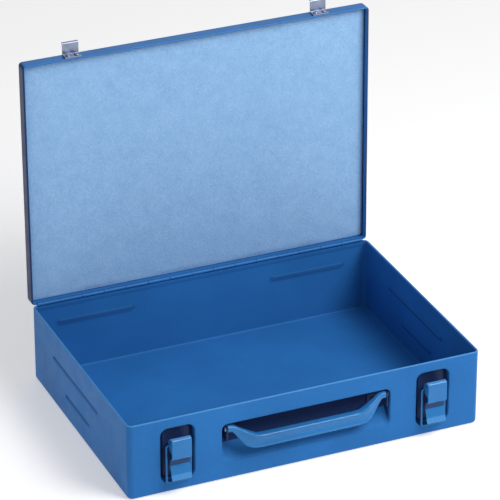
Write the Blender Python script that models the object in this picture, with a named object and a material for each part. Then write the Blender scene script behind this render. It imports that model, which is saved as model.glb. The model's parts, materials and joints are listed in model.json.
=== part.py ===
"""Sheet-steel assortment case with a hinged, pad-lined lid.

The case stands on its flat underside.  Origin: centre of that underside, +Z up, -Y towards the
handle, +X to the right of someone who faces the handle.  All lengths are metres.  The lid is modelled
shut and then swung open about its hinge pin; handle, levers and bails are modelled hanging.
"""
import math

import bmesh
import bpy
from mathutils import Matrix, Vector

# Case: outer footprint, heights and sheet.
CASE_WIDTH = 0.340
CASE_DEPTH = 0.240
BODY_HEIGHT = 0.074
LID_HEIGHT = 0.013
SHEET = 0.001
BODY_CORNER_RADIUS = 0.0055
LID_CORNER_RADIUS = 0.0035
FLOOR_RADIUS = 0.0025
HEM_THICKNESS = 0.0019
HEM_HEIGHT = 0.005
GAP = 0.0003
BORE_CLEARANCE = 0.00042
OVERCUT = 0.001
LID_SEAM = 0.0006
LID_OPEN_ANGLE = math.radians(90.7)

# Lid lining.
PAD_THICKNESS = 0.005
PAD_INSET = 0.0016
PAD_CORNER = 0.0025
PAD_BEVEL = 0.0008

# Piano hinge: its knuckles fill a notch in both back edges, its leaves lie outside.
HINGE_LENGTH = 0.330
KNUCKLE_COUNT = 15
KNUCKLE_GAP = 0.0004
KNUCKLE_RADIUS = 0.0016
KNUCKLE_CURL = math.radians(280)
LEAF_THICKNESS = 0.0008
LEAF_HEIGHT = 0.011
LEAF_SETBACK = 0.0025
LEAF_OVERLAP = 0.0006
NOTCH_CLEARANCE = 0.0005
HINGE_PIN_RADIUS = 0.0005

# Beads pressed inwards: half length, half height and corner radius of a bead, and their places.
BEAD_DEPTH = 0.0014
BEAD_LAND = 0.0014
BACK_BEAD_HALF = (0.037, 0.0018, 0.0016)
BACK_BEAD_X = 0.1075
BACK_BEAD_Z = 0.0520
SIDE_BEADS = (((0.055, 0.0018, 0.0016), 0.010, 0.0480), ((0.029, 0.0018, 0.0016), 0.005, 0.0235))
BOSS_PLACE = (0.1415, 0.0965)
BOSS_RADIUS = 0.0050

# Edge of every recess in the front wall, from the mouth inwards, as (out, spread).
RECESS_MOUTH = ((0.0020, 0.0016), (0.0, 0.0012), (-0.0007, 0.0004), (-0.0020, 0.0001))
# The recesses: half width, top and bottom below the rim, depth, corner, and
# how far the floor's lower edge stands above the mouth's, which makes the lower wall a ramp.
HANDLE_RECESS = (0.0810, 0.0190, 0.0570, 0.0120, 0.0050, 0.0150)
LATCH_RECESS = (0.0158, 0.0105, 0.0632, 0.0065, 0.0065, 0.0)
LATCH_X = 0.1235

# Carrying handle: a bow that swings on two pins.
HANDLE_HALF_LENGTH = 0.0765
HANDLE_PIVOT_DOWN = 0.0235
HANDLE_PIVOT_OUT = -0.001
HANDLE_PIN_RADIUS = 0.0015
HANDLE_PIN_HEAD = (0.0026, 0.0018, 0.0009)
HANDLE_BORE_DEPTH = 0.005
HANDLE_EDGE_RADIUS = 0.0022
# Stations of the bow from grip to eye: x, top and bottom below the rim, back and front faces,
# and the depth of the channel along the front.
HANDLE_STATIONS = (
    (0.0430, 0.0322, 0.0452, 0.0000, 0.0080, 0.0016),
    (0.0500, 0.0316, 0.0450, 0.0000, 0.0080, 0.0016),
    (0.0555, 0.0290, 0.0440, -0.0006, 0.0076, 0.0014),
    (0.0605, 0.0264, 0.0416, -0.0014, 0.0062, 0.0010),
    (0.0655, 0.0240, 0.0362, -0.0026, 0.0040, 0.0006),
    (0.0695, 0.0216, 0.0302, -0.0036, 0.0026, 0.0),
    (0.0725, 0.0207, 0.0268, -0.0040, 0.0020, 0.0),
    (HANDLE_HALF_LENGTH, 0.0205, 0.0265, -0.0040, 0.0020, 0.0),
)
BRACKET_THICKNESS = 0.0012
BRACKET_TOP = 0.0210
BRACKET_BOTTOM = 0.0350
BRACKET_REACH = 0.0146
BRACKET_EAR_OUT = 0.0020
BRACKET_FILLET = 0.0008
BRACKET_EAR_GAP = 0.0004
BRACKET_RIVET_DOWNS = (0.0250, 0.0315)
BRACKET_RIVET_X = 0.0683

# Draw latches: lever on a pin between two ears, wire bail on the lever.
LATCH_PLATE = (0.0125, 0.0130, 0.0600, 0.0030)
LATCH_PLATE_THICKNESS = 0.001
LATCH_RIVET_DOWNS = (0.0320, 0.0500)
EAR_INNER_X = 0.0062
EAR_THICKNESS = 0.001
EAR_RADIUS = 0.0025
EAR_FOOT_ABOVE = 0.004
EAR_FOOT_BELOW = 0.003
LEVER_PIVOT_DOWN = 0.0215
LEVER_PIVOT_OUT = 0.004
LEVER_HALF_WIDTH = 0.0092
LEVER_SHEET = 0.0012
LEVER_BEND_RADIUS = 0.0016
# Middle line of the lever's sheet: top flange, web, waist and flared finger tail, as (out, down).
LEVER_PROFILE = ((0.0056, 0.0180), (0.0094, 0.0180), (0.0094, 0.0362), (0.0042, 0.0400),
                 (0.0042, 0.0440), (0.0094, 0.0580))
CHEEK_THICKNESS = 0.001
CHEEK_PROFILE = ((0.0094, 0.0178), (0.0052, 0.0178), (0.0006, 0.0208), (-0.0008, 0.0248),
                 (-0.0008, 0.0272), (0.0008, 0.0288), (0.0040, 0.0305), (0.0094, 0.0328))
LEVER_PIN_RADIUS = 0.0011
LEVER_PIN_HALF = 0.0093
BAIL_PIVOT_DOWN = 0.0260
BAIL_PIVOT_OUT = 0.0015
BAIL_LENGTH = 0.0374
BAIL_WIRE_RADIUS = 0.001
BAIL_HALF_WIDTH = 0.0113
BAIL_STUB_END_X = 0.0076
BAIL_BEND_RADIUS = 0.0022

# Strikes on the lid's front skirt: a foot, and a shelf that the bail pulls down on.
STRIKE_X = 0.1215
STRIKE_HALF_WIDTH = 0.0077
STRIKE_THICKNESS = 0.0012
STRIKE_FOOT_RISE = 0.0010
STRIKE_SHELF_RISE = 0.0085
STRIKE_REACH = 0.0125
STRIKE_LIP = 0.0012
STRIKE_BEND_RADIUS = 0.0009
STRIKE_RIVET_X = 0.0042
STRIKE_RIVET_RISE = 0.0042

# Rivets: shank, domed head and clinch.
RIVET_SHANK_RADIUS = 0.0014
RIVET_HEAD_RADIUS = 0.0026
RIVET_HEAD_HEIGHT = 0.001
RIVET_CLINCH_RADIUS = 0.0021
RIVET_CLINCH_HEIGHT = 0.0007

# Base colour, metallic value and roughness of each finish.
FINISHES = {
    "blue_paint": ((0.02, 0.15, 0.42, 1.0), 0.0, 0.35),
    "foam": ((0.25, 0.44, 0.72, 1.0), 0.0, 0.95),
    "zinc": ((0.55, 0.57, 0.60, 1.0), 1.0, 0.35),
}


# ---------------------------------------------------------------- small helpers

def material_for(name, finish):
    """Give each piece a Principled material of its own."""
    colour, metallic, roughness = FINISHES[finish]
    material = bpy.data.materials.new(name)
    material.use_nodes = True
    shader = material.node_tree.nodes["Principled BSDF"]
    shader.inputs["Base Color"].default_value = colour
    shader.inputs["Metallic"].default_value = metallic
    shader.inputs["Roughness"].default_value = roughness
    return material


def link_mesh(name, bm, pivot=None, finish=None):
    """Turn a bmesh into an object, moved under its pivot empty if it has one."""
    bmesh.ops.recalc_face_normals(bm, faces=bm.faces)
    mesh = bpy.data.meshes.new(name)
    bm.to_mesh(mesh)
    bm.free()
    piece = bpy.data.objects.new(name, mesh)
    bpy.context.scene.collection.objects.link(piece)
    if pivot is not None:
        mesh.transform(Matrix.Translation(-pivot.location))
        piece.parent = pivot
    if finish is not None:
        mesh.materials.append(material_for(name, finish))
    return piece


def add_loft(bm, sections):
    """Skin closed sections of equal point count and cap both ends."""
    rings = [[bm.verts.new(point) for point in section] for section in sections]
    count = len(rings[0])
    for low, high in zip(rings, rings[1:]):
        for i in range(count):
            j = (i + 1) % count
            bm.faces.new((low[i], low[j], high[j], high[i]))
    bm.faces.new(rings[0])
    bm.faces.new(rings[-1])


def cutter(name, lofts, pivot=None):
    """Make a hidden boolean operand out of separate lofted solids."""
    bm = bmesh.new()
    for sections in lofts:
        add_loft(bm, sections)
    tool = link_mesh(name, bm, pivot)
    tool.hide_render = True
    tool.display_type = "WIRE"
    return tool


def combine(piece, tool, operation):
    modifier = piece.modifiers.new(tool.name, "BOOLEAN")
    modifier.operation = operation
    modifier.solver = "EXACT"
    modifier.object = tool


def smooth(piece, degrees=35):
    piece.data.shade_smooth()
    piece.data.set_sharp_from_angle(angle=math.radians(degrees))


def pivot_at(name, location, tilt=0.0):
    empty = bpy.data.objects.new(name, None)
    empty.location = location
    empty.rotation_euler = (tilt, 0.0, 0.0)
    bpy.context.scene.collection.objects.link(empty)
    return empty


def front(x, out, down):
    """A point given by its distance out from the front wall and down from the rim."""
    return Vector((x, -CASE_DEPTH / 2 - out, BODY_HEIGHT - down))


def circle(radius, count=12):
    turn = 2 * math.pi / count
    return [(radius * math.cos(i * turn), radius * math.sin(i * turn)) for i in range(count)]


def rounded_rectangle(half_u, half_v, radius, steps=5):
    """Counter-clockwise outline about the origin."""
    points = []
    for quarter, (side_u, side_v) in enumerate(((1, 1), (-1, 1), (-1, -1), (1, -1))):
        centre_u = side_u * (half_u - radius)
        centre_v = side_v * (half_v - radius)
        for i in range(steps + 1):
            angle = math.pi / 2 * (quarter + i / steps)
            points.append((centre_u + radius * math.cos(angle), centre_v + radius * math.sin(angle)))
    return points


def rounded_path(corners, radius, steps=3):
    """Replace the inner corners of a polyline with arcs."""
    points = [Vector(corners[0])]
    for before, corner, after in zip(corners, corners[1:], corners[2:]):
        corner = Vector(corner)
        back = (Vector(before) - corner).normalized()
        ahead = (Vector(after) - corner).normalized()
        half_angle = math.acos(max(-1.0, min(1.0, back.dot(ahead)))) / 2
        centre = corner + (back + ahead).normalized() * radius / math.sin(half_angle)
        start = corner + back * radius / math.tan(half_angle) - centre
        end = corner + ahead * radius / math.tan(half_angle) - centre
        for i in range(steps + 1):
            points.append(centre + start.slerp(end, i / steps).normalized() * radius)
    points.append(Vector(corners[-1]))
    return points


def strip_outline(path, thickness):
    """Outline of a bent strip with the given centre line."""
    left, right = [], []
    for i, point in enumerate(path):
        before = path[max(i - 1, 0)]
        after = path[min(i + 1, len(path) - 1)]
        along = (after - before).normalized()
        side = Vector((-along.y, along.x)) * thickness / 2
        left.append(point + side)
        right.append(point - side)
    return [tuple(p) for p in left + right[::-1]]


def side_prism(outline, x_low, x_high):
    """Sections of an (out, down) outline extruded along X."""
    return [[front(x, out, down) for out, down in outline] for x in (x_low, x_high)]


def side_cylinder(radius, out, down, x_low, x_high, count=12):
    outline = [(out + u, down + v) for u, v in circle(radius, count)]
    return side_prism(outline, x_low, x_high)


def front_loft(steps, x, top, bottom, half_x, radius):
    """Rounded rectangles in the front plane; each step is (out, spread, lift of the lower edge)."""
    sections = []
    for out, spread, lift in steps:
        middle = (top + bottom - lift) / 2
        half_down = (bottom - lift - top) / 2 + spread
        outline = rounded_rectangle(half_x + spread, half_down, radius + spread)
        sections.append([front(x + u, out, middle + v) for u, v in outline])
    return sections


def front_cylinder(radius, x, down, out_low, out_high, count=12):
    outline = circle(radius, count)
    return [[front(x + u, out, down + v) for u, v in outline] for out in (out_low, out_high)]


# ---------------------------------------------------------------- pans

def pan_profile(height):
    """(inset, height) points from the underside, over the hemmed edge, to the inner floor."""
    arc = [math.pi / 2 * i / 4 for i in range(5)]
    outer = [(FLOOR_RADIUS * (1 - math.sin(a)), FLOOR_RADIUS * (1 - math.cos(a))) for a in arc]
    hem_radius = HEM_THICKNESS / 2
    roll = [math.pi * i / 4 for i in range(5)]
    hem = [(hem_radius * (1 - math.cos(a)), height - hem_radius * (1 - math.sin(a))) for a in roll]
    step = HEM_THICKNESS - SHEET
    fold = [(HEM_THICKNESS, height - HEM_HEIGHT), (SHEET, height - HEM_HEIGHT - step)]
    inner_radius = FLOOR_RADIUS - SHEET
    inner = []
    for a in arc:
        inset = FLOOR_RADIUS - inner_radius * math.cos(a)
        inner.append((inset, FLOOR_RADIUS - inner_radius * math.sin(a)))
    return outer + hem + fold + inner


def pan_bmesh(height, corner):
    """Open-topped pan with rounded corners, standing on z = 0."""
    bm = bmesh.new()
    sections = []
    for inset, z in pan_profile(height):
        outline = rounded_rectangle(CASE_WIDTH / 2 - inset, CASE_DEPTH / 2 - inset, corner - inset)
        sections.append([Vector((u, v, z)) for u, v in outline])
    add_loft(bm, sections)
    return bm


def recess_steps(depth, ramp):
    """Mouth fillet, drafted wall and floor radius of a pressed recess."""
    steps = RECESS_MOUTH + ((-(depth - SHEET), 0.0), (-depth, -SHEET))
    return [(out, spread, ramp * max(0.0, -out) / depth) for out, spread in steps]


def recess_backing_steps(depth, ramp):
    """The same recess seen from inside the case, one sheet thickness larger."""
    inner = [(out - SHEET, spread + SHEET, lift) for out, spread, lift in recess_steps(depth, ramp)[2:]]
    return [(-SHEET / 2, RECESS_MOUTH[1][1] + SHEET, 0.0)] + inner


def recess(steps_for, x, size):
    half_width, top, bottom, depth, corner, ramp = size
    return front_loft(steps_for(depth, ramp), x, top, bottom, half_width, corner)


def bead_levels():
    """Distances from the outer face and spreads: (levels of the raised back, levels of the groove)."""
    raised = ((SHEET / 2, BEAD_LAND), (SHEET, BEAD_LAND), (SHEET + BEAD_DEPTH, 0.0))
    groove = ((-OVERCUT, BEAD_LAND / 2), (0.0, BEAD_LAND / 2), (BEAD_DEPTH, -BEAD_LAND / 2))
    return raised, groove


def bead_loft(levels, half, place_at):
    """One bead; place_at turns (along, up, depth) into a point."""
    half_u, half_v, radius = half
    sections = []
    for depth, spread in levels:
        outline = rounded_rectangle(half_u + spread, half_v + spread, radius + spread)
        sections.append([place_at(u, v, depth) for u, v in outline])
    return sections


def bead_lofts(levels):
    """Every bead and floor boss of the body, as lofts at the given levels."""
    lofts = []
    for side in (-1, 1):
        def on_back(u, v, depth, side=side):
            return Vector((side * BACK_BEAD_X + u, CASE_DEPTH / 2 - depth, BACK_BEAD_Z + v))

        lofts.append(bead_loft(levels, BACK_BEAD_HALF, on_back))
        for half, middle_y, middle_z in SIDE_BEADS:
            def on_side(u, v, depth, side=side, y=middle_y, z=middle_z):
                return Vector((side * (CASE_WIDTH / 2 - depth), y + u, z + v))

            lofts.append(bead_loft(levels, half, on_side))
    boss_x, boss_y = BOSS_PLACE
    for x in (-boss_x, boss_x):
        for y in (-boss_y, boss_y):
            sections = []
            for depth, spread in levels:
                outline = circle(BOSS_RADIUS + spread, 16)
                sections.append([Vector((x + u, y + v, depth)) for u, v in outline])
            lofts.append(sections)
    return lofts


def hinge_notch(z_low, z_high):
    """The stretch of a back edge that is cut away for the knuckles."""
    half = HINGE_LENGTH / 2 + 2 * GAP
    y_low = CASE_DEPTH / 2 - HEM_THICKNESS - OVERCUT
    y_high = CASE_DEPTH / 2 + OVERCUT
    corners = ((-half, y_low), (half, y_low), (half, y_high), (-half, y_high))
    return [[Vector((x, y, z)) for x, y in corners] for z in (z_low, z_high)]


def rivet_hole(x, down, depth):
    """Clearance hole for a rivet shank through the recess floor at that depth."""
    radius = RIVET_SHANK_RADIUS + BORE_CLEARANCE
    reach = 3 * SHEET
    return front_cylinder(radius, x, down, -depth - reach, -depth + reach)


def build_body_pan():
    piece = link_mesh("body_pan", pan_bmesh(BODY_HEIGHT, BODY_CORNER_RADIUS), finish="blue_paint")
    raised_levels, groove_levels = bead_levels()
    pressings = bead_lofts(raised_levels)
    pressings.append(recess(recess_backing_steps, 0.0, HANDLE_RECESS))
    cuts = bead_lofts(groove_levels)
    cuts.append(recess(recess_steps, 0.0, HANDLE_RECESS))
    notch_floor = hinge_axis().z - KNUCKLE_RADIUS - NOTCH_CLEARANCE
    cuts.append(hinge_notch(notch_floor, BODY_HEIGHT + OVERCUT))
    for side in (-1, 1):
        pressings.append(recess(recess_backing_steps, side * LATCH_X, LATCH_RECESS))
        cuts.append(recess(recess_steps, side * LATCH_X, LATCH_RECESS))
    holes = []
    for side in (-1, 1):
        for down in BRACKET_RIVET_DOWNS:
            holes.append(rivet_hole(side * BRACKET_RIVET_X, down, HANDLE_RECESS[3]))
        for down in LATCH_RIVET_DOWNS:
            holes.append(rivet_hole(side * LATCH_X, down, LATCH_RECESS[3]))
    combine(piece, cutter("pan_pressings", pressings), "UNION")
    combine(piece, cutter("pan_cuts", cuts), "DIFFERENCE")
    combine(piece, cutter("pan_rivet_holes", holes), "DIFFERENCE")
    smooth(piece)


def build_lid_shell(lid_pivot):
    """A shallower pan turned over, its edge one seam above the body's."""
    bm = pan_bmesh(LID_HEIGHT, LID_CORNER_RADIUS)
    over = Matrix.Rotation(math.pi, 4, "X")
    lift = Matrix.Translation((0.0, 0.0, BODY_HEIGHT + LID_SEAM + LID_HEIGHT))
    bmesh.ops.transform(bm, matrix=lift @ over, verts=bm.verts)
    piece = link_mesh("lid_shell", bm, lid_pivot, "blue_paint")
    notch_roof = hinge_axis().z + KNUCKLE_RADIUS + NOTCH_CLEARANCE
    cuts = [hinge_notch(BODY_HEIGHT - OVERCUT, notch_roof)]
    for x in strike_rivet_xs():
        radius = RIVET_SHANK_RADIUS + BORE_CLEARANCE
        cuts.append(front_cylinder(radius, x, -STRIKE_RIVET_RISE, -HEM_THICKNESS - OVERCUT, OVERCUT))
    combine(piece, cutter("lid_cuts", cuts, lid_pivot), "DIFFERENCE")
    smooth(piece)


def build_foam_pad(lid_pivot):
    top = BODY_HEIGHT + LID_SEAM + LID_HEIGHT - SHEET - GAP
    half_x = CASE_WIDTH / 2 - PAD_INSET
    half_y = CASE_DEPTH / 2 - PAD_INSET
    face = top - PAD_THICKNESS
    sections = []
    levels = ((top, PAD_BEVEL), (top - PAD_BEVEL, 0.0), (face + PAD_BEVEL, 0.0), (face, PAD_BEVEL))
    for z, inset in levels:
        outline = rounded_rectangle(half_x - inset, half_y - inset, PAD_CORNER - inset)
        sections.append([Vector((u, v, z)) for u, v in outline])
    bm = bmesh.new()
    add_loft(bm, sections)
    link_mesh("foam_pad", bm, lid_pivot, "foam")


# ---------------------------------------------------------------- piano hinge

def hinge_axis():
    """Middle of the seam, placed so that the knuckles are flush with the leaves' outer faces."""
    y = CASE_DEPTH / 2 + GAP + LEAF_THICKNESS - KNUCKLE_RADIUS
    return Vector((0.0, y, BODY_HEIGHT + LID_SEAM / 2))


def knuckle_outline(upward):
    """Riser and curl of one knuckle as (y, z) offsets from the hinge axis."""
    radius = KNUCKLE_RADIUS - LEAF_THICKNESS / 2
    path = [Vector((radius, -LEAF_SETBACK - LEAF_OVERLAP)), Vector((radius, -LEAF_SETBACK / 2))]
    steps = 12
    for i in range(steps + 1):
        angle = KNUCKLE_CURL * i / steps
        path.append(Vector((radius * math.cos(angle), radius * math.sin(angle))))
    flip = -1 if upward else 1
    return [(y, z * flip) for y, z in strip_outline(path, LEAF_THICKNESS)]


def build_leaf(name, upward, pivot=None):
    """One leaf: a long plate with every second knuckle curled from its edge."""
    axis = hinge_axis()
    flip = 1 if upward else -1
    near = axis.z + flip * LEAF_SETBACK
    far = axis.z + flip * LEAF_HEIGHT
    y_low = CASE_DEPTH / 2 + GAP
    y_high = y_low + LEAF_THICKNESS
    outline = ((y_low, near), (y_high, near), (y_high, far), (y_low, far))
    half = HINGE_LENGTH / 2
    bm = bmesh.new()
    add_loft(bm, [[Vector((x, y, z)) for y, z in outline] for x in (-half, half)])
    piece = link_mesh(name, bm, pivot, "blue_paint")
    pitch = HINGE_LENGTH / KNUCKLE_COUNT
    lofts = []
    for i in range(1 if upward else 0, KNUCKLE_COUNT, 2):
        x_low = -half + i * pitch + KNUCKLE_GAP / 2
        x_high = x_low + pitch - KNUCKLE_GAP
        curl = knuckle_outline(upward)
        lofts.append([[Vector((x, axis.y + y, axis.z + z)) for y, z in curl] for x in (x_low, x_high)])
    combine(piece, cutter(name + "_knuckles", lofts, pivot), "UNION")
    smooth(piece)


def build_hinge_pin():
    axis = hinge_axis()
    half = HINGE_LENGTH / 2
    bm = bmesh.new()
    outline = circle(HINGE_PIN_RADIUS)
    add_loft(bm, [[Vector((x, axis.y + u, axis.z + v)) for u, v in outline] for x in (-half, half)])
    smooth(link_mesh("hinge_pin", bm, finish="zinc"))


# ---------------------------------------------------------------- rivets

def build_rivet(name, x, down, plate_out, wall_inner_out, pivot=None):
    """Rivet with a domed head on the plate and a flat clinch behind the wall."""
    head = plate_out + GAP
    clinch = wall_inner_out - GAP
    profile = ((clinch - RIVET_CLINCH_HEIGHT, RIVET_CLINCH_RADIUS * 0.8),
               (clinch, RIVET_CLINCH_RADIUS), (clinch, RIVET_SHANK_RADIUS),
               (head, RIVET_SHANK_RADIUS), (head, RIVET_HEAD_RADIUS),
               (head + RIVET_HEAD_HEIGHT * 0.55, RIVET_HEAD_RADIUS * 0.82),
               (head + RIVET_HEAD_HEIGHT, RIVET_HEAD_RADIUS * 0.35))
    sections = []
    for out, radius in profile:
        sections.append([front(x + u, out, down + v) for u, v in circle(radius)])
    bm = bmesh.new()
    add_loft(bm, sections)
    smooth(link_mesh(name, bm, pivot, "zinc"), 50)


# ---------------------------------------------------------------- handle

def handle_section(side, station):
    """Rounded section with a shallow channel along its front face."""
    x, top, bottom, back, face, channel = station
    half_out = (face - back) / 2
    half_down = (bottom - top) / 2
    outline = rounded_rectangle(half_out, half_down, HANDLE_EDGE_RADIUS, 3)
    # The outline ends at the top of the front face: these points cross it to where it starts.
    straight = half_down - HANDLE_EDGE_RADIUS
    steps = 6
    for i in range(1, steps):
        along = i / steps
        dip = channel * math.sin(math.pi * along) ** 1.5
        outline.append((half_out - dip, straight * (2 * along - 1)))
    out = (back + face) / 2
    down = (top + bottom) / 2
    return [front(side * x, out + u, down + v) for u, v in outline]


def build_handle(pivot):
    sections = [handle_section(-1, s) for s in reversed(HANDLE_STATIONS)]
    sections += [handle_section(1, s) for s in HANDLE_STATIONS]
    bm = bmesh.new()
    add_loft(bm, sections)
    piece = link_mesh("handle", bm, pivot, "blue_paint")
    bores = []
    for side in (-1, 1):
        inner = side * (HANDLE_HALF_LENGTH - HANDLE_BORE_DEPTH)
        outer = side * (HANDLE_HALF_LENGTH + OVERCUT)
        radius = HANDLE_PIN_RADIUS + BORE_CLEARANCE
        bores.append(side_cylinder(radius, HANDLE_PIVOT_OUT, HANDLE_PIVOT_DOWN, inner, outer))
    combine(piece, cutter("handle_bores", bores, pivot), "DIFFERENCE")
    smooth(piece, 50)


def build_handle_mount(side, label):
    """Angle bracket with an ear beside the handle's eye, its pin and its two rivets."""
    floor_out = -HANDLE_RECESS[3]
    base_low = floor_out + GAP
    base_high = base_low + BRACKET_THICKNESS
    ear_low = HANDLE_HALF_LENGTH + BRACKET_EAR_GAP
    ear_high = ear_low + BRACKET_THICKNESS
    foot_low = ear_high - BRACKET_REACH
    outline = ((foot_low, base_low), (ear_high, base_low), (ear_high, BRACKET_EAR_OUT),
               (ear_low, BRACKET_EAR_OUT), (ear_low, base_high + BRACKET_FILLET),
               (ear_low - BRACKET_FILLET, base_high), (foot_low, base_high))
    bm = bmesh.new()
    ends = (BRACKET_TOP, BRACKET_BOTTOM)
    add_loft(bm, [[front(side * x, out, down) for x, out in outline] for down in ends])
    piece = link_mesh("handle_bracket_" + label, bm, finish="blue_paint")
    holes = [side_cylinder(HANDLE_PIN_RADIUS + BORE_CLEARANCE, HANDLE_PIVOT_OUT, HANDLE_PIVOT_DOWN,
                           side * (ear_low - OVERCUT), side * (ear_high + OVERCUT))]
    rivet_x = side * BRACKET_RIVET_X
    for down in BRACKET_RIVET_DOWNS:
        holes.append(front_cylinder(RIVET_SHANK_RADIUS + BORE_CLEARANCE, rivet_x, down,
                                    base_low - OVERCUT, base_high + OVERCUT))
    combine(piece, cutter("bracket_holes_" + label, holes), "DIFFERENCE")

    head_radius, crown_radius, head_height = HANDLE_PIN_HEAD
    inner_end = HANDLE_HALF_LENGTH - HANDLE_BORE_DEPTH + OVERCUT
    head = ear_high + GAP
    profile = ((inner_end, HANDLE_PIN_RADIUS), (head, HANDLE_PIN_RADIUS), (head, head_radius),
               (head + head_height, crown_radius))
    bm = bmesh.new()
    sections = []
    for x, radius in profile:
        ring = [(HANDLE_PIVOT_OUT + u, HANDLE_PIVOT_DOWN + v) for u, v in circle(radius)]
        sections.append([front(side * x, out, down) for out, down in ring])
    add_loft(bm, sections)
    smooth(link_mesh("handle_pin_" + label, bm, finish="zinc"))

    for down, place in zip(BRACKET_RIVET_DOWNS, ("upper", "lower")):
        build_rivet("handle_rivet_" + label + "_" + place, rivet_x, down, base_high, floor_out - SHEET)


# ---------------------------------------------------------------- latches

def build_latch_base(centre, label):
    """Plate on the recess floor with two ears for the lever's pin."""
    floor_out = -LATCH_RECESS[3]
    low = floor_out + GAP
    high = low + LATCH_PLATE_THICKNESS
    half_x, top, bottom, corner = LATCH_PLATE
    bm = bmesh.new()
    add_loft(bm, front_loft(((low, 0.0, 0.0), (high, 0.0, 0.0)), centre, top, bottom, half_x, corner))
    piece = link_mesh("latch_base_" + label, bm, finish="blue_paint")

    foot = high - LATCH_PLATE_THICKNESS / 2
    foot_down = LEVER_PIVOT_DOWN + LEVER_PIVOT_OUT - foot
    ear = []
    for i in range(9):
        angle = math.radians(-130 + 190 * i / 8)
        out = LEVER_PIVOT_OUT + EAR_RADIUS * math.cos(angle)
        ear.append((out, LEVER_PIVOT_DOWN + EAR_RADIUS * math.sin(angle)))
    ear += [(foot, foot_down + EAR_FOOT_BELOW), (foot, foot_down - EAR_FOOT_ABOVE)]
    ears = []
    for side in (-1, 1):
        inner = centre + side * EAR_INNER_X
        ears.append(side_prism(ear, inner, inner + side * EAR_THICKNESS))
    combine(piece, cutter("latch_ears_" + label, ears), "UNION")

    holes = [side_cylinder(LEVER_PIN_RADIUS + BORE_CLEARANCE, LEVER_PIVOT_OUT, LEVER_PIVOT_DOWN,
                           centre - LEVER_HALF_WIDTH, centre + LEVER_HALF_WIDTH)]
    for down in LATCH_RIVET_DOWNS:
        holes.append(front_cylinder(RIVET_SHANK_RADIUS + BORE_CLEARANCE, centre, down,
                                    low - OVERCUT, high + OVERCUT))
    combine(piece, cutter("latch_base_holes_" + label, holes), "DIFFERENCE")
    for down, place in zip(LATCH_RIVET_DOWNS, ("upper", "lower")):
        build_rivet("latch_rivet_" + label + "_" + place, centre, down, high, floor_out - SHEET)


def build_lever(centre, label, pivot):
    """Pressed channel: flat top, front web, waist and a flared finger tail, with two cheeks."""
    path = rounded_path(LEVER_PROFILE, LEVER_BEND_RADIUS)
    outline = strip_outline(path, LEVER_SHEET)
    bm = bmesh.new()
    add_loft(bm, side_prism(outline, centre - LEVER_HALF_WIDTH, centre + LEVER_HALF_WIDTH))
    piece = link_mesh("latch_lever_" + label, bm, pivot, "blue_paint")

    cheeks = []
    for side in (-1, 1):
        outer = centre + side * (LEVER_HALF_WIDTH - GAP)
        cheeks.append(side_prism(CHEEK_PROFILE, outer, outer - side * CHEEK_THICKNESS))
    combine(piece, cutter("lever_cheeks_" + label, cheeks, pivot), "UNION")
    bores = ((LEVER_PIN_RADIUS, LEVER_PIVOT_OUT, LEVER_PIVOT_DOWN),
             (BAIL_WIRE_RADIUS, BAIL_PIVOT_OUT, BAIL_PIVOT_DOWN))
    for name, (radius, out, down) in zip(("pin", "bail"), bores):
        hole = side_cylinder(radius + BORE_CLEARANCE, out, down, centre - LEVER_HALF_WIDTH - OVERCUT,
                             centre + LEVER_HALF_WIDTH + OVERCUT)
        tool = cutter("lever_" + name + "_bore_" + label, [hole], pivot)
        combine(piece, tool, "DIFFERENCE")
    smooth(piece)


def build_lever_pin(centre, label):
    bm = bmesh.new()
    add_loft(bm, side_cylinder(LEVER_PIN_RADIUS, LEVER_PIVOT_OUT, LEVER_PIVOT_DOWN,
                               centre - LEVER_PIN_HALF, centre + LEVER_PIN_HALF))
    smooth(link_mesh("latch_pin_" + label, bm, finish="zinc"))


def build_bail(centre, label, pivot):
    """Round wire bent to a U, its ends turned in through the lever's cheeks."""
    bottom = BAIL_PIVOT_DOWN + BAIL_LENGTH
    corners = ((-BAIL_STUB_END_X, BAIL_PIVOT_DOWN), (-BAIL_HALF_WIDTH, BAIL_PIVOT_DOWN),
               (-BAIL_HALF_WIDTH, bottom), (BAIL_HALF_WIDTH, bottom),
               (BAIL_HALF_WIDTH, BAIL_PIVOT_DOWN), (BAIL_STUB_END_X, BAIL_PIVOT_DOWN))
    path = rounded_path(corners, BAIL_BEND_RADIUS, 4)
    ring = circle(BAIL_WIRE_RADIUS, 10)
    sections = []
    for i, point in enumerate(path):
        before = path[max(i - 1, 0)]
        after = path[min(i + 1, len(path) - 1)]
        along = (after - before).normalized()
        side = Vector((-along.y, along.x))
        section = []
        for u, v in ring:
            place = point + side * u
            section.append(front(centre + place.x, BAIL_PIVOT_OUT + v, place.y))
        sections.append(section)
    bm = bmesh.new()
    add_loft(bm, sections)
    smooth(link_mesh("latch_bail_" + label, bm, pivot, "zinc"), 60)


def build_latch(side, label):
    centre = side * LATCH_X
    build_latch_base(centre, label)
    build_lever_pin(centre, label)
    lever_pivot = pivot_at("lever_pivot_" + label, front(centre, LEVER_PIVOT_OUT, LEVER_PIVOT_DOWN))
    bail_pivot = pivot_at("bail_pivot_" + label, front(centre, BAIL_PIVOT_OUT, BAIL_PIVOT_DOWN))
    build_lever(centre, label, lever_pivot)
    build_bail(centre, label, bail_pivot)


# ---------------------------------------------------------------- strikes

def strike_rivet_xs():
    return [side * STRIKE_X + offset for side in (-1, 1) for offset in (-STRIKE_RIVET_X, STRIKE_RIVET_X)]


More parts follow.
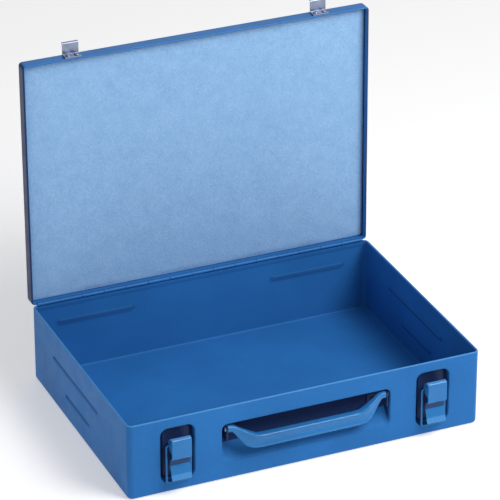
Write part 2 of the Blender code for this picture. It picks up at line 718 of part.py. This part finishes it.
def build_strike(side, label, lid_pivot):
    """Angle plate: foot on the lid's skirt, and a lipped shelf that the bail pulls down on."""
    centre = side * STRIKE_X
    half_sheet = STRIKE_THICKNESS / 2
    foot_out = GAP + half_sheet
    shelf = -(STRIKE_SHELF_RISE + half_sheet)
    end = STRIKE_REACH - half_sheet
    corners = ((foot_out, -STRIKE_FOOT_RISE), (foot_out, shelf), (end, shelf),
               (end, shelf - half_sheet - STRIKE_LIP))
    outline = strip_outline(rounded_path(corners, STRIKE_BEND_RADIUS, 2), STRIKE_THICKNESS)
    bm = bmesh.new()
    add_loft(bm, side_prism(outline, centre - STRIKE_HALF_WIDTH, centre + STRIKE_HALF_WIDTH))
    piece = link_mesh("strike_" + label, bm, lid_pivot, "zinc")
    plate_out = GAP + STRIKE_THICKNESS
    holes = []
    for offset in (-STRIKE_RIVET_X, STRIKE_RIVET_X):
        holes.append(front_cylinder(RIVET_SHANK_RADIUS + BORE_CLEARANCE, centre + offset,
                                    -STRIKE_RIVET_RISE, -OVERCUT, plate_out + OVERCUT))
    combine(piece, cutter("strike_holes_" + label, holes, lid_pivot), "DIFFERENCE")
    for offset, place in ((-STRIKE_RIVET_X, "a"), (STRIKE_RIVET_X, "b")):
        build_rivet("strike_rivet_" + label + "_" + place, centre + offset, -STRIKE_RIVET_RISE,
                    plate_out, -HEM_THICKNESS, lid_pivot)


# ---------------------------------------------------------------- assembly

def main():
    for old in list(bpy.data.objects):
        bpy.data.objects.remove(old, do_unlink=True)

    lid_pivot = pivot_at("lid_pivot", hinge_axis())
    build_body_pan()
    build_lid_shell(lid_pivot)
    build_foam_pad(lid_pivot)
    build_leaf("body_hinge_leaf", upward=False)
    build_leaf("lid_hinge_leaf", upward=True, pivot=lid_pivot)
    build_hinge_pin()

    handle_pivot = pivot_at("handle_pivot", front(0.0, HANDLE_PIVOT_OUT, HANDLE_PIVOT_DOWN))
    build_handle(handle_pivot)
    for side, label in ((-1, "left"), (1, "right")):
        build_handle_mount(side, label)
        build_latch(side, label)
        build_strike(side, label, lid_pivot)
    lid_pivot.rotation_euler.x = -LID_OPEN_ANGLE


main()
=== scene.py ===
"""Looks of the sheet-steel case: paint, foam, plated metal, light and camera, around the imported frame."""

import json
import math

import bmesh
import bpy
from mathutils import Matrix, Vector, noise


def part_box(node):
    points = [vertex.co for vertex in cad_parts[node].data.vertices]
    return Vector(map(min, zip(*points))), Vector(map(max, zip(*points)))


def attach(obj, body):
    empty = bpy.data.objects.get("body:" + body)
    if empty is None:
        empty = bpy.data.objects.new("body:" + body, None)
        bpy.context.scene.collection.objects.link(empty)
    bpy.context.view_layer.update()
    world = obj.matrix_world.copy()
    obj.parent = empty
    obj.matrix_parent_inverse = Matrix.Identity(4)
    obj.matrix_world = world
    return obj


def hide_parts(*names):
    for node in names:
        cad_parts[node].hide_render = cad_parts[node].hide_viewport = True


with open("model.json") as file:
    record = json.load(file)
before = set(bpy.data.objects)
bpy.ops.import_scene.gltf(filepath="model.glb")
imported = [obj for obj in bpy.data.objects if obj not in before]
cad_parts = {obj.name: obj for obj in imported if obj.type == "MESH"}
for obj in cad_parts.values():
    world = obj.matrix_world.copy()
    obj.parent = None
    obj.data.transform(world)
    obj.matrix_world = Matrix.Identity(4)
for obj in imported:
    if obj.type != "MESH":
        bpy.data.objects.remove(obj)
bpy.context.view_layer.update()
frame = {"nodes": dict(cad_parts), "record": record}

# Camera: a long lens, as for a catalogue picture. Angles in degrees, the rest in metres.
CAMERA_AZIMUTH = -23.4
CAMERA_ELEVATION = 27.49
CAMERA_DISTANCE = 2.981
CAMERA_TARGET = (-0.0031, 0.0, 0.1548)
CAMERA_LENS = 239.2
CAMERA_SENSOR = 36.0

# Paint colours as linear RGB.
BLUE_BODY = (0.024, 0.150, 0.420)
# Painted shade: the darker blue laid on the lid's sides.
BLUE_PAINTED_SHADE = (0.012, 0.024, 0.085)
# Painted shade: the darker blue laid in the front recesses, along the beads, on the lever's waist and on the
# hardware in the recesses.
BLUE_PAINTED_SHADOW = (0.014, 0.032, 0.105)
# Painted highlight: the lighter blue along the pan's rim, the lever's top edge and its finger end.
BLUE_PAINTED_HIGHLIGHT = (0.085, 0.290, 0.620)
BLUE_HARDWARE = (0.022, 0.165, 0.430)
FOAM_BASE = (0.205, 0.400, 0.650)
FOAM_LIGHT = (0.270, 0.470, 0.730)
ZINC = (0.27, 0.31, 0.41)

# How much the plain panels and the body pan mirror; the pan faces most of the bright floor.
PANEL_SPECULAR = 0.14
PAN_SPECULAR = 0.06

# Paint masks. RIM_PAINTED_HIGHLIGHT: depth under the rim where the painted highlight starts and is full.
# FLANK_SHADE_DEPTH:
# how far in from the lid's sides the painted shade reaches. RECESS_*: the front recesses' place, in
# from the body pan's box, where shade is painted in. BEAD_HALF: half width of a bead and of the shade painted
# along it.
RIM_PAINTED_HIGHLIGHT = (0.0012, 0.0004)
FLANK_SHADE_DEPTH = 0.0012
RECESS_DEPTH = (0.0060, 0.0128)
RECESS_BELOW, RECESS_ABOVE, RECESS_ASIDE = 0.0095, 0.0080, 0.0240
RECESS_SOFT = 0.0010
BEAD_HALF = 0.0010
BEAD_SINK = 0.0045
# How strongly shade is painted along the beads.
BEAD_SHADE = 0.45

# Beads as in the CAD: height, centre and half length along the wall.
SIDE_BEADS = ((0.0480, 0.010, 0.055), (0.0235, 0.005, 0.029))
BACK_BEAD = (0.0520, 0.1075, 0.037)

# Lever paint: the waist painted dark as shade and the finger edge painted light as a highlight, above its
# lower end.
LEVER_WAIST = (0.0140, 0.0188)
LEVER_FINGER = 0.0050

# Foam face: spacing of its mesh, rounding of its edge and height of its unevenness.
FOAM_GRID = 0.006
FOAM_ROUND = 0.0012
FOAM_UNEVEN = 0.0005

# Softened edges in metres, by node.
EDGES = {"handle": 0.0003, "latch_lever_left": 0.0002, "latch_lever_right": 0.0002}

# Studio: soft lamps as (place, size, watts), all aimed at one point, over a plain pale floor.
LAMP_AIM = (0.0, 0.0, 0.08)
LAMPS = {
    "key": ((0.62, -0.80, 1.22), 0.8, 20.0),
    "fill": ((-2.2, -0.5, 0.24), 0.3, 5.0),
    "rim": ((1.0, 2.3, 1.35), 1.6, 4.0),
}
WORLD_STRENGTH = 0.34
FLOOR_COLOUR = (0.80, 0.80, 0.81)
FLOOR_GLOW = 0.38
FLOOR_HALF = 6.0
FLOOR_DROP = 0.0002


# ---------------------------------------------------------------- node helpers

class Graph:
    """A short way to write a material's node tree."""

    def __init__(self, name):
        self.material = bpy.data.materials.new(name)
        self.material.use_nodes = True
        self.tree = self.material.node_tree
        self.shader = self.tree.nodes["Principled BSDF"]

    def node(self, kind, inputs=None, **settings):
        made = self.tree.nodes.new(kind)
        for key, value in settings.items():
            setattr(made, key, value)
        for key, value in (inputs or {}).items():
            if hasattr(value, "is_output"):
                self.tree.links.new(value, made.inputs[key])
            else:
                made.inputs[key].default_value = value
        return made

    def link(self, source, key):
        self.tree.links.new(source, self.shader.inputs[key])

    def set(self, **values):
        for key, value in values.items():
            self.shader.inputs[key.replace("_", " ")].default_value = value

    def position(self, scale=(1, 1, 1)):
        """The piece's own coordinates, which move with it."""
        coordinates = self.node("ShaderNodeTexCoord").outputs["Object"]
        mapping = self.node("ShaderNodeMapping", {"Vector": coordinates, "Scale": scale})
        return mapping.outputs["Vector"]

    def noise(self, scale, detail=3.0, roughness=0.5, stretch=(1, 1, 1)):
        inputs = {"Vector": self.position(stretch), "Scale": scale, "Detail": detail, "Roughness": roughness}
        return self.node("ShaderNodeTexNoise", inputs).outputs["Fac"]

    def ramp(self, factor, low, high, low_at=0.3, high_at=0.7):
        made = self.node("ShaderNodeValToRGB", {"Fac": factor})
        first, last = made.color_ramp.elements
        first.position, last.position = low_at, high_at
        first.color, last.color = low, high
        return made.outputs["Color"]

    def remap(self, factor, low, high, from_low=0.3, from_high=0.7):
        inputs = {"Value": factor, "From Min": from_low, "From Max": from_high, "To Min": low, "To Max": high}
        return self.node("ShaderNodeMapRange", inputs).outputs["Result"]

    def bump(self, height, distance, strength=1.0, below=None):
        inputs = {"Height": height, "Distance": distance, "Strength": strength}
        if below is not None:
            inputs["Normal"] = below
        return self.node("ShaderNodeBump", inputs).outputs["Normal"]


def rgba(colour, gain=1.0):
    return tuple(min(1.0, c * gain) for c in colour) + (1.0,)


def band(graph, value, low, high, soft):
    """One between low and high, falling to zero over the soft width beyond either end."""
    rise = graph.remap(value, 0.0, 1.0, low - soft, low)
    fall = graph.remap(value, 1.0, 0.0, high, high + soft)
    return graph.node("ShaderNodeMath", {0: rise, 1: fall}, operation="MULTIPLY").outputs[0]


def product(graph, factors):
    amount = factors[0]
    for factor in factors[1:]:
        amount = graph.node("ShaderNodeMath", {0: amount, 1: factor}, operation="MULTIPLY").outputs[0]
    return amount


def tint(graph, base, colour, amount):
    """Lay a colour over the base by the given amount."""
    mixed = graph.node("ShaderNodeMix", data_type="RGBA")
    graph.tree.links.new(amount, mixed.inputs["Factor"])
    graph.tree.links.new(base, mixed.inputs["A"])
    mixed.inputs["B"].default_value = rgba(colour)
    return mixed.outputs["Result"]


def axes(graph, source):
    """X, Y and Z of the piece's own coordinates ("Object") or of its surface direction ("Normal")."""
    vector = graph.node("ShaderNodeTexCoord").outputs[source]
    return graph.node("ShaderNodeSeparateXYZ", {"Vector": vector}).outputs


def absolute(graph, value):
    return graph.node("ShaderNodeMath", {0: value}, operation="ABSOLUTE").outputs[0]


def recess_mask(graph):
    """One inside the pressed recesses of the front wall, where shade is painted in and the paint is made
    matt.
    """
    place = axes(graph, "Object")
    low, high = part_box("body_pan")
    front, back = (low[1] + depth for depth in RECESS_DEPTH)
    bottom, top = low[2] + RECESS_BELOW, high[2] - RECESS_ABOVE
    left, right = low[0] + RECESS_ASIDE, high[0] - RECESS_ASIDE
    return product(graph, (band(graph, place["Y"], front, back, 0.0045),
                           band(graph, place["Z"], bottom, top, RECESS_SOFT),
                           band(graph, place["X"], left, right, RECESS_SOFT),
                           band(graph, axes(graph, "Normal")["Y"], -2.0, 0.3, 0.1)))


def bead_mask(graph):
    """One along the pressed beads, where shade is painted in."""
    place = axes(graph, "Object")
    across = absolute(graph, place["X"])
    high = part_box("body_pan")[1]
    # Each row: the bead, the direction it runs in, and the wall that it is pressed into.
    rows = [(bead, place["Y"], across, high[0]) for bead in SIDE_BEADS]
    rows.append((BACK_BEAD, across, place["Y"], high[1]))
    total = None
    for (height, centre, half), along, wall, outside in rows:
        mask = product(graph, (band(graph, place["Z"], height - BEAD_HALF, height + BEAD_HALF, 0.0012),
                               band(graph, along, centre - half, centre + half, 0.0030),
                               band(graph, wall, outside - BEAD_SINK, outside + 0.001, 0.0005)))
        if total is None:
            total = mask
        else:
            total = graph.node("ShaderNodeMath", {0: total, 1: mask}, operation="ADD").outputs[0]
    return total


def enamel(name, colour, roughness=0.36, coat=0.06, shaded_flanks=0.0, highlight_height=0.0, bands=(), pressed=False,
           specular=PANEL_SPECULAR):
    """Stove enamel on steel: orange peel, slow colour drift and faint speckle.

    Beyond +-flanks along X the colour is darker, as painted shade; highlight_height is the level of an edge
    that is lighter, as a painted highlight; each of bands is (low, high, colour, amount) across Z, here
    painted shade or a painted highlight; pressed turns on painted shade and a matt finish in the body's
    recesses and painted shade along its beads.
    """
    graph = Graph(name)
    base = graph.ramp(graph.noise(14.0, 2.0), rgba(colour, 0.92), rgba(colour, 1.08))
    polish = graph.remap(graph.noise(60.0, 4.0), roughness - 0.05, roughness + 0.08)
    # A painted highlight along the edge at highlight_height.
    if highlight_height > 0.0:
        level = axes(graph, "Object")["Z"]
        painted_highlight = graph.remap(level, 0.0, 0.75, highlight_height - RIM_PAINTED_HIGHLIGHT[0], highlight_height - RIM_PAINTED_HIGHLIGHT[1])
        base = tint(graph, base, BLUE_PAINTED_HIGHLIGHT, painted_highlight)
    for low, high, shade, amount in bands:
        inside = band(graph, axes(graph, "Object")["Z"], low, high, 0.0008)
        base = tint(graph, base, shade, product(graph, (inside, amount)))
    # Painted shade: the lid's sides are darkened beyond flanks.
    if shaded_flanks > 0.0:
        across = absolute(graph, axes(graph, "Object")["X"])
        base = tint(graph, base, BLUE_PAINTED_SHADE, graph.remap(across, 0.0, 0.95, shaded_flanks - 0.0004, shaded_flanks))
    if pressed:
        # The recesses get painted shade and a matt finish; faces that look up are left without the shade.
        inside = recess_mask(graph)
        matt = product(graph, (inside, 0.5))
        polish = graph.node("ShaderNodeMath", {0: polish, 1: matt}, operation="ADD").outputs[0]
        ramp_free = band(graph, axes(graph, "Normal")["Z"], -2.0, 0.35, 0.15)
        base = tint(graph, base, BLUE_PAINTED_SHADOW, product(graph, (inside, ramp_free)))
        # Painted shade along the beads.
        base = tint(graph, base, BLUE_PAINTED_SHADOW, product(graph, (bead_mask(graph), BEAD_SHADE)))
    mottle = graph.noise(420.0, 3.0, 0.6)
    speckle = graph.ramp(mottle, (0.86, 0.88, 0.90, 1.0), (1.10, 1.08, 1.06, 1.0), 0.25, 0.75)
    mixed = graph.node("ShaderNodeMix", data_type="RGBA", blend_type="MULTIPLY")
    mixed.inputs["Factor"].default_value = 0.45
    graph.tree.links.new(base, mixed.inputs["A"])
    graph.tree.links.new(speckle, mixed.inputs["B"])
    graph.link(mixed.outputs["Result"], "Base Color")
    graph.link(polish, "Roughness")
    peel = graph.bump(graph.noise(900.0, 2.0), 0.00006, 0.4)
    wave = graph.bump(graph.noise(9.0, 1.0), 0.0012, 0.30, below=peel)
    graph.link(wave, "Normal")
    graph.set(Coat_Weight=coat, Coat_Roughness=0.15, Specular_IOR_Level=specular)
    return graph.material


def foam(name):
    """Open-cell foam: fine light and dark mottling over pores."""
    graph = Graph(name)
    blotch = graph.noise(90.0, 5.0, 0.7)
    grain = graph.noise(520.0, 4.0, 0.75)
    base = graph.ramp(blotch, rgba(FOAM_BASE), rgba(FOAM_LIGHT), 0.25, 0.75)
    speckle = graph.ramp(grain, (0.78, 0.82, 0.87, 1.0), (1.14, 1.11, 1.08, 1.0), 0.32, 0.68)
    mixed = graph.node("ShaderNodeMix", data_type="RGBA", blend_type="MULTIPLY")
    mixed.inputs["Factor"].default_value = 0.85
    graph.tree.links.new(base, mixed.inputs["A"])
    graph.tree.links.new(speckle, mixed.inputs["B"])
    graph.link(mixed.outputs["Result"], "Base Color")
    pores = graph.node("ShaderNodeTexVoronoi", {"Vector": graph.position(), "Scale": 900.0})
    pitted = graph.bump(pores.outputs["Distance"], 0.0003, 0.6)
    graph.link(graph.bump(blotch, 0.0005, 0.35, below=pitted), "Normal")
    graph.set(Roughness=0.92, Sheen_Weight=0.15, Sheen_Roughness=0.6)
    return graph.material


def plated(name):
    """Zinc plating: brushed grain and faint clouding."""
    graph = Graph(name)
    cloud = graph.noise(220.0, 3.0)
    graph.link(graph.ramp(cloud, rgba(ZINC, 0.85), rgba(ZINC, 1.12)), "Base Color")
    graph.link(graph.remap(graph.noise(900.0, 3.0, 0.6, (1, 8, 1)), 0.32, 0.48), "Roughness")
    graph.link(graph.bump(graph.noise(1400.0, 2.0, 0.5, (1, 6, 1)), 0.00004, 0.5), "Normal")
    graph.set(Metallic=1.0)
    return graph.material


# ---------------------------------------------------------------- pieces

def clean_copy(node):
    """The CAD solid as a light mesh: doubled points welded, flat triangles joined to whole faces."""
    bm = bmesh.new()
    bm.from_mesh(frame["nodes"][node].data)
    bmesh.ops.remove_doubles(bm, verts=bm.verts, dist=0.000005)
    bmesh.ops.dissolve_limit(bm, angle_limit=math.radians(1.0), verts=bm.verts, edges=bm.edges)
    bmesh.ops.recalc_face_normals(bm, faces=bm.faces)
    mesh = bpy.data.meshes.new(node + "_finish")
    bm.to_mesh(mesh)
    bm.free()
    piece = bpy.data.objects.new(node + "_finish", mesh)
    bpy.context.scene.collection.objects.link(piece)
    return piece


def finish_piece(node, material, edge=0.0, sharp=40.0):
    """A CAD solid with softened edges, which takes the node's place."""
    piece = clean_copy(node)
    if edge > 0.0:
        bevel = piece.modifiers.new("edge", "BEVEL")
        bevel.width = edge
        bevel.segments = 2
        bevel.limit_method = "ANGLE"
        bevel.angle_limit = math.radians(sharp)
        bevel.use_clamp_overlap = True
    piece.data.shade_smooth()
    piece.data.set_sharp_from_angle(angle=math.radians(sharp))
    weighted = piece.modifiers.new("weighted", "WEIGHTED_NORMAL")
    weighted.keep_sharp = True
    piece.data.materials.clear()
    piece.data.materials.append(material)
    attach(piece, body_of(node))
    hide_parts(node)
    return piece


def body_of(node):
    for body, members in frame["record"]["behaviour"]["bodies"].items():
        if node in members:
            return body
    raise KeyError(node)


def build_pieces():
    low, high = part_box("body_pan")
    body_paint = enamel("body_enamel", BLUE_BODY)
    # The pan's rim gets a painted highlight, its recesses and beads painted shade.
    pan_paint = enamel("pan_enamel", BLUE_BODY, coat=0.0, highlight_height=high[2], pressed=True,
                       specular=PAN_SPECULAR)
    # The lid's paint darkens its sides as painted shade.
    lid_paint = enamel("lid_enamel", BLUE_BODY, shaded_flanks=high[0] - FLANK_SHADE_DEPTH)
    # Hardware in the recesses takes the darker blue as painted shade.
    shade_paint = enamel("recess_painted_shade", BLUE_PAINTED_SHADOW, coat=0.0)
    lever_low, lever_high = (corner[2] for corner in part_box("latch_lever_left"))
    # Painted shade across the lever's waist; painted highlight on its finger end and its top edge.
    waist = (lever_low + LEVER_WAIST[0], lever_low + LEVER_WAIST[1], BLUE_PAINTED_SHADOW, 0.85)
    finger = (lever_low - 0.001, lever_low + LEVER_FINGER, BLUE_PAINTED_HIGHLIGHT, 0.6)
    lever_paint = enamel("lever_enamel", BLUE_HARDWARE, 0.22, 0.25, highlight_height=lever_high,
                         bands=(waist, finger))
    hardware_paint = enamel("hardware_enamel", BLUE_HARDWARE, 0.22, 0.25)
    zinc = plated("zinc_plate")
    slots = {entry["node"]: entry["material_slot"] for entry in frame["record"]["subparts"]}
    paints = {"blue_paint": body_paint, "handle_paint": hardware_paint, "latch_paint": hardware_paint,
              "zinc": zinc}
    own_paints = {"body_pan": pan_paint, "lid_shell": lid_paint, "latch_lever_left": lever_paint,
                  "latch_lever_right": lever_paint}
    for node in slots:
        # Painted shade on the hardware in the recesses.
        if node.startswith(("latch_base", "latch_rivet", "handle_bracket", "handle_rivet")):
            own_paints[node] = shade_paint
    for node, slot in slots.items():
        if slot == "foam":
            continue
        finish_piece(node, own_paints.get(node, paints[slot]), EDGES.get(node, 0.0))


def lid_frame():
    """The lid's own frame at rest: origin on the hinge, Y over the case when shut."""
    hinge = next(j for j in frame["record"]["behaviour"]["joints"] if j["name"] == "lid_hinge")
    opened = Matrix.Rotation(-math.radians(hinge["range_deg"][1]), 4, "X")
    return Matrix.Translation(Vector(hinge["pos_m"])) @ opened


def cut_grid(bm, axis, low, high, spacing):
    count = max(1, round((high - low) / spacing))
    normal = Vector((0.0, 0.0, 0.0))
    normal[axis] = 1.0
    for i in range(1, count):
        place = Vector((0.0, 0.0, 0.0))
        place[axis] = low + (high - low) * i / count
        geometry = bm.verts[:] + bm.edges[:] + bm.faces[:]
        bmesh.ops.bisect_plane(bm, geom=geometry, plane_co=place, plane_no=normal, dist=0.000001)


def build_foam_pad():
    """Foam sheet in the lid: rounded edges and a slightly uneven face, worked in the lid's frame."""
    piece = clean_copy("foam_pad")
    piece.name = "foam_lining"
    own = lid_frame()
    bm = bmesh.new()
    bm.from_mesh(piece.data)
    bmesh.ops.transform(bm, matrix=own.inverted(), verts=bm.verts)
    face = min(v.co.z for v in bm.verts)
    rim = [e for e in bm.edges if all(v.co.z < face + 0.0001 for v in e.verts)]
    bmesh.ops.bevel(bm, geom=rim, offset=FOAM_ROUND, segments=3, affect="EDGES", clamp_overlap=True)
    low = [min(v.co[i] for v in bm.verts) for i in range(3)]
    high = [max(v.co[i] for v in bm.verts) for i in range(3)]
    for axis in (0, 1):
        cut_grid(bm, axis, low[axis], high[axis], FOAM_GRID)
    for v in bm.verts:
        if v.co.z < face + 0.0004:
            slow = noise.noise(v.co * 24.0) + 0.5 * noise.noise(v.co * 70.0)
            v.co.z += FOAM_UNEVEN * (0.6 + 0.6 * slow)
    bmesh.ops.transform(bm, matrix=own, verts=bm.verts)
    bm.to_mesh(piece.data)
    bm.free()
    piece.data.materials.clear()
    piece.data.materials.append(foam("lining_foam"))
    piece.data.shade_smooth()
    piece.data.set_sharp_from_angle(angle=math.radians(50))
    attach(piece, "lid")
    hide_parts("foam_pad")
    return piece


# ---------------------------------------------------------------- studio

def build_floor():
    """Plain pale floor, the same to every ray."""
    mesh = bpy.data.meshes.new("pale_floor")
    corners = [(x * FLOOR_HALF, y * FLOOR_HALF, 0) for x, y in ((-1, -1), (1, -1), (1, 1), (-1, 1))]
    mesh.from_pydata(corners, [], [(0, 1, 2, 3)])
    floor = bpy.data.objects.new("pale_floor", mesh)
    bpy.context.scene.collection.objects.link(floor)
    graph = Graph("pale_floor")
    graph.set(Base_Color=rgba(FLOOR_COLOUR), Roughness=0.9, Specular_IOR_Level=0.1)
    graph.set(Emission_Color=(1, 1, 1, 1), Emission_Strength=FLOOR_GLOW)
    mesh.materials.append(graph.material)
    floor.location.z = -FLOOR_DROP


def area_light(name, location, size, power):
    data = bpy.data.lights.new(name, "AREA")
    data.energy = power
    data.size = size
    lamp = bpy.data.objects.new(name, data)
    lamp.location = location
    lamp.rotation_euler = (Vector(LAMP_AIM) - Vector(location)).to_track_quat("-Z", "Y").to_euler()
    bpy.context.scene.collection.objects.link(lamp)


def build_lights():
    world = bpy.data.worlds.new("studio")
    world.use_nodes = True
    background = world.node_tree.nodes["Background"]
    background.inputs["Color"].default_value = (1.0, 1.0, 1.0, 1.0)
    background.inputs["Strength"].default_value = WORLD_STRENGTH
    bpy.context.scene.world = world
    for name, (location, size, watts) in LAMPS.items():
        area_light(name, location, size, watts)
    bpy.context.scene.view_settings.view_transform = "Standard"


def build_camera():
    azimuth, elevation = math.radians(CAMERA_AZIMUTH), math.radians(CAMERA_ELEVATION)
    back = Vector((math.sin(azimuth) * math.cos(elevation), -math.cos(azimuth) * math.cos(elevation),
                   math.sin(elevation)))
    data = bpy.data.cameras.new("camera")
    data.lens = CAMERA_LENS
    data.sensor_width = CAMERA_SENSOR
    camera = bpy.data.objects.new("camera", data)
    camera.location = Vector(CAMERA_TARGET) + back * CAMERA_DISTANCE
    camera.rotation_euler = back.to_track_quat("Z", "Y").to_euler()
    bpy.context.scene.collection.objects.link(camera)
    bpy.context.scene.camera = camera


build_camera()
build_lights()
build_floor()
build_pieces()
build_foam_pad()
